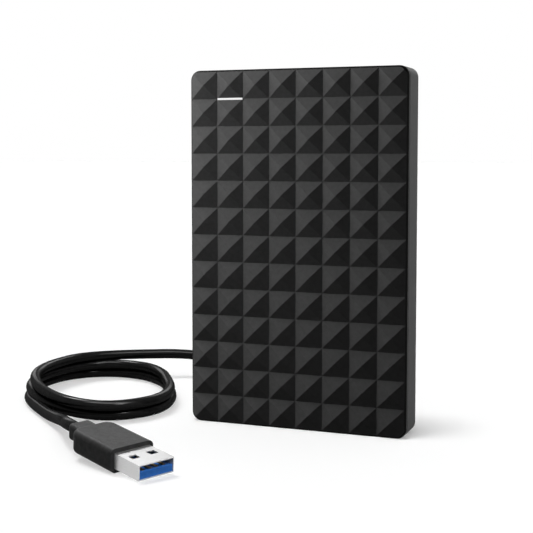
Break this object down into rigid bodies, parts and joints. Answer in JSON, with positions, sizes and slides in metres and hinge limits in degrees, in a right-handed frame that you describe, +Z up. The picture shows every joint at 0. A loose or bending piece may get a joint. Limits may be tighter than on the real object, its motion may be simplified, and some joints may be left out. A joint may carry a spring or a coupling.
{
  "type": "external hard drive",
  "caption": "Slim upright portable hard drive with a pyramid-studded front cover and a light bar, beside its loosely coiled black data lead with a metal-tipped plug.",
  "frame": {"origin": "middle of the drive's bottom edge, on the floor that it stands on", "axes": "+Z up along the drive's height, -Y out of the patterned front cover, +X to the right in the front view"},
  "size_m": [0.1505, 0.1467, 0.117],
  "materials": {
    "casing": "fine matte moulded grey",
    "light": "milky, lit from behind",
    "bumper": "soft moulded rubber",
    "laminate": "green solder mask",
    "steel": "bright plated sheet steel",
    "black_plastic": "moulded black",
    "ceramic": "sintered chip parts",
    "cast_metal": "cast and machined",
    "disk": "polished to a mirror",
    "magnet": "nickel plated",
    "copper": "wound or plated copper",
    "filter": "white pressed fibre",
    "cord_jacket": "black satin jacket and grips",
    "tongue": "blue moulded insulator"
  },
  "bodies": {
    "case": {"front_cover": "casing", "back_cover": "casing", "light_pipe": "light", "corner_bumpers": "bumper", "bridge_board": "laminate", "bridge_screws": "steel", "port_shell": "steel", "port_tongues": "black_plastic", "bridge_socket": "black_plastic", "bridge_chip": "black_plastic", "bridge_capacitors": "ceramic", "status_lamp": "light", "drive_base": "cast_metal", "drive_lid": "steel", "lid_gasket": "bumper", "lid_screws": "steel", "drive_board": "laminate", "mechanism_connector": "black_plastic", "motor_stator": "magnet", "bearing_sleeve": "steel", "pivot_post": "steel", "back_yoke": "magnet", "front_yoke": "magnet", "front_magnet": "magnet", "back_magnet": "magnet", "load_ramp": "black_plastic", "air_filter": "filter", "cord_lead": "cord_jacket", "cord_coil": "cord_jacket", "cord_tail": "cord_jacket", "host_plug_grip": "cord_jacket", "host_plug_shell": "steel", "host_plug_tongue": "tongue", "host_plug_contacts": "copper", "drive_plug_grip": "cord_jacket", "drive_plug_shell": "steel", "drive_plug_insert": "black_plastic"},
    "disk_stack": {"front_platter": "disk", "back_platter": "disk", "platter_spacer": "cast_metal", "disk_clamp": "cast_metal", "clamp_screw": "steel", "spindle_hub": "cast_metal", "rotor_magnet": "magnet"},
    "actuator": {"actuator_arm": "cast_metal", "voice_coil": "copper", "head_suspensions": "steel", "read_heads": "black_plastic"}
  },
  "joints": [
    {"name": "spindle_spin", "type": "hinge", "parent": "case", "child": "disk_stack", "pos_m": [0, 0, 0.03742], "axis": [0, -1, 0], "continuous": true},
    {"name": "arm_swing", "type": "hinge", "parent": "case", "child": "actuator", "pos_m": [0.016, 0, 0.07503], "axis": [0, -1, 0], "range_deg": [0, 35]}
  ]
}
